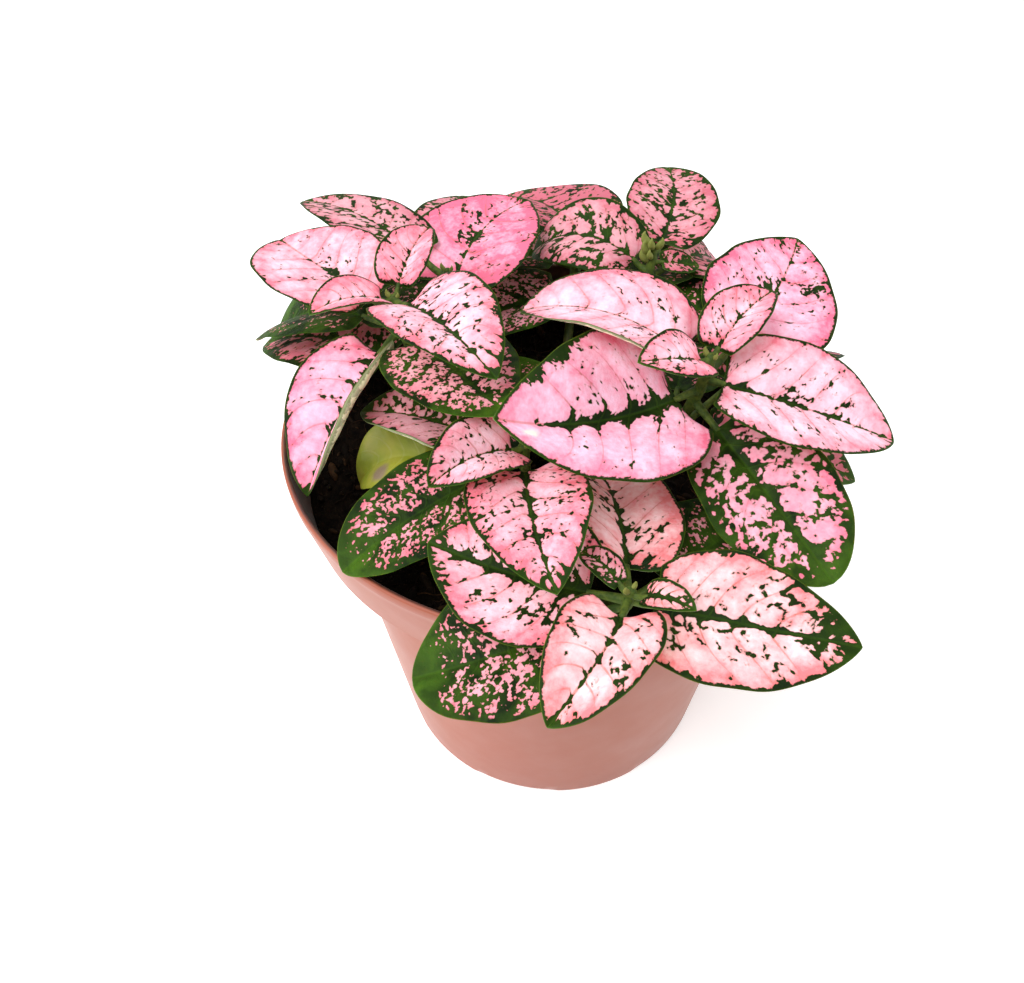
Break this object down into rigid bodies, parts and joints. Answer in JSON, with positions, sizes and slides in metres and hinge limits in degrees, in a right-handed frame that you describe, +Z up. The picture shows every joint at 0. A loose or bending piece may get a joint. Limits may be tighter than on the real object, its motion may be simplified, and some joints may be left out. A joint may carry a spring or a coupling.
{
  "type": "potted polka dot plant",
  "caption": "Small foliage plant with pink, green-speckled oval leaves on leaning stems, growing in soil in a tapered round plastic nursery pot with a rim collar.",
  "frame": {"origin": "middle of the pot's flat underside, where it rests", "axes": "+Z up along the pot's axis, -Y towards the side with the lowest, longest front leaves, +X to that side's right"},
  "size_m": [0.1343, 0.1805, 0.1314],
  "materials": {
    "pot": "matt moulded terracotta-pink plastic",
    "soil": "damp dark potting mix with fibres",
    "stem": "soft green stem with fine hairs",
    "pink_leaf": "soft matt leaf, pink with dark green flecks and margin",
    "green_leaf": "soft matt leaf, dark green with small pink dots",
    "plain_leaf": "soft matt old leaf, plain yellow-green"
  },
  "bodies": {
    "root": {"pot": "pot", "soil": "soil", "left_stem": "stem", "left_leaf_1": "pink_leaf", "left_leaf_2": "pink_leaf", "left_leaf_3": "pink_leaf", "left_leaf_4": "pink_leaf", "left_leaf_5": "green_leaf", "left_leaf_6": "green_leaf", "left_leaf_7": "pink_leaf", "left_leaf_8": "green_leaf", "left_leaf_9": "pink_leaf", "right_stem": "stem", "right_leaf_1": "pink_leaf", "right_leaf_2": "pink_leaf", "right_leaf_3": "pink_leaf", "right_leaf_4": "pink_leaf", "right_leaf_5": "pink_leaf", "right_leaf_6": "pink_leaf", "right_leaf_7": "green_leaf", "right_leaf_8": "green_leaf", "right_leaf_9": "green_leaf", "right_leaf_10": "green_leaf", "front_stem": "stem", "front_leaf_1": "pink_leaf", "front_leaf_2": "pink_leaf", "front_leaf_3": "pink_leaf", "front_leaf_4": "pink_leaf", "front_leaf_5": "pink_leaf", "front_leaf_6": "pink_leaf", "front_leaf_7": "green_leaf", "front_leaf_8": "green_leaf", "middle_stem": "stem", "middle_leaf_1": "pink_leaf", "middle_leaf_2": "pink_leaf", "middle_leaf_3": "green_leaf", "middle_leaf_4": "pink_leaf", "middle_leaf_5": "plain_leaf", "middle_leaf_6": "green_leaf", "middle_leaf_7": "pink_leaf", "back_right_stem": "stem", "back_right_leaf_1": "pink_leaf", "back_right_leaf_2": "pink_leaf", "back_right_leaf_3": "pink_leaf", "back_right_leaf_4": "green_leaf", "back_right_leaf_5": "green_leaf", "back_right_leaf_6": "green_leaf", "back_right_leaf_7": "green_leaf", "back_left_stem": "stem", "back_left_leaf_1": "pink_leaf", "back_left_leaf_2": "pink_leaf", "back_left_leaf_3": "pink_leaf", "back_left_leaf_4": "green_leaf", "back_left_leaf_5": "green_leaf", "back_stem": "stem", "back_leaf_1": "pink_leaf", "back_leaf_2": "green_leaf", "back_leaf_3": "green_leaf", "back_leaf_4": "green_leaf"}
  },
  "joints": []
}
